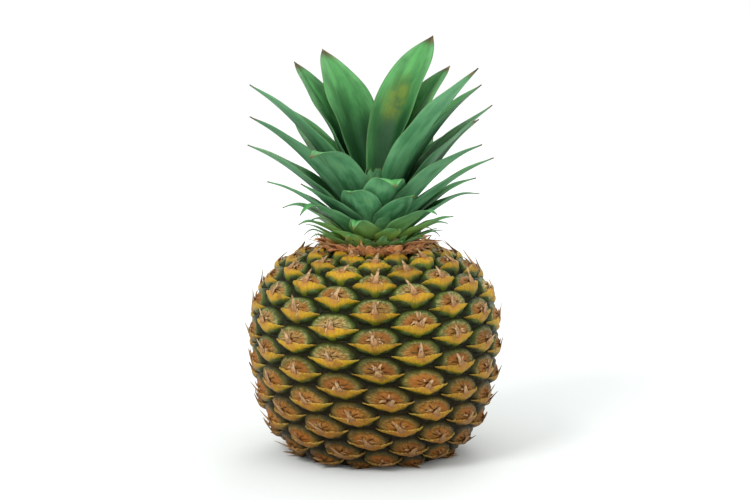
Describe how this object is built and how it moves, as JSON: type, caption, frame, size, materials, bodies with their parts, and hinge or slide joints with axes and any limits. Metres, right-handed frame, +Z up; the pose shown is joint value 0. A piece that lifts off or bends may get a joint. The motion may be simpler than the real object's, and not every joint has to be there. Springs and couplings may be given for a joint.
{
  "type": "pineapple",
  "caption": "Whole ripe fruit standing on its base, with a netted skin of spiral eyes and a crown of stiff pointed leaves, to stand on a table or shelf.",
  "frame": {"origin": "centre of the flat spot under the fruit, on the surface that it stands on", "axes": "+Z up the fruit's own axis, from the cut stalk to the crown; -Y towards the viewer's side, +X to the viewer's right"},
  "size_m": [0.1312, 0.1311, 0.2206],
  "materials": {
    "fruit_skin": "waxy, semi-matte",
    "crown_leaf": "satin, with a pale bloom",
    "collar_scale": "dry, matte",
    "cut_stalk": "dry fibres, matte",
    "crown_stem": "matte"
  },
  "bodies": {
    "root": {"fruit": "fruit_skin", "stalk_stub": "cut_stalk", "crown_stem": "crown_stem", "collar_scale_01": "collar_scale", "collar_scale_02": "collar_scale", "collar_scale_03": "collar_scale", "collar_scale_04": "collar_scale", "collar_scale_05": "collar_scale", "collar_scale_06": "collar_scale", "collar_scale_07": "collar_scale", "collar_scale_08": "collar_scale", "collar_scale_09": "collar_scale", "collar_scale_10": "collar_scale", "collar_scale_11": "collar_scale", "collar_scale_12": "collar_scale", "collar_scale_13": "collar_scale", "crown_leaf_01": "crown_leaf", "crown_leaf_02": "crown_leaf", "crown_leaf_03": "crown_leaf", "crown_leaf_04": "crown_leaf", "crown_leaf_05": "crown_leaf", "crown_leaf_06": "crown_leaf", "crown_leaf_07": "crown_leaf", "crown_leaf_08": "crown_leaf", "crown_leaf_09": "crown_leaf", "crown_leaf_10": "crown_leaf", "crown_leaf_11": "crown_leaf", "crown_leaf_12": "crown_leaf", "crown_leaf_13": "crown_leaf", "crown_leaf_14": "crown_leaf", "crown_leaf_15": "crown_leaf", "crown_leaf_16": "crown_leaf", "crown_leaf_17": "crown_leaf", "crown_leaf_18": "crown_leaf", "crown_leaf_19": "crown_leaf", "crown_leaf_20": "crown_leaf", "crown_leaf_21": "crown_leaf", "crown_leaf_22": "crown_leaf", "crown_leaf_23": "crown_leaf", "crown_leaf_24": "crown_leaf", "crown_leaf_25": "crown_leaf", "crown_leaf_26": "crown_leaf", "crown_leaf_27": "crown_leaf", "crown_leaf_28": "crown_leaf", "crown_leaf_29": "crown_leaf", "crown_leaf_30": "crown_leaf", "crown_leaf_31": "crown_leaf", "crown_leaf_32": "crown_leaf", "crown_leaf_33": "crown_leaf", "crown_leaf_34": "crown_leaf", "crown_leaf_35": "crown_leaf", "crown_leaf_36": "crown_leaf", "crown_leaf_37": "crown_leaf", "crown_leaf_38": "crown_leaf", "crown_leaf_39": "crown_leaf", "crown_leaf_40": "crown_leaf", "crown_leaf_41": "crown_leaf", "crown_leaf_42": "crown_leaf", "crown_leaf_43": "crown_leaf"}
  },
  "joints": []
}
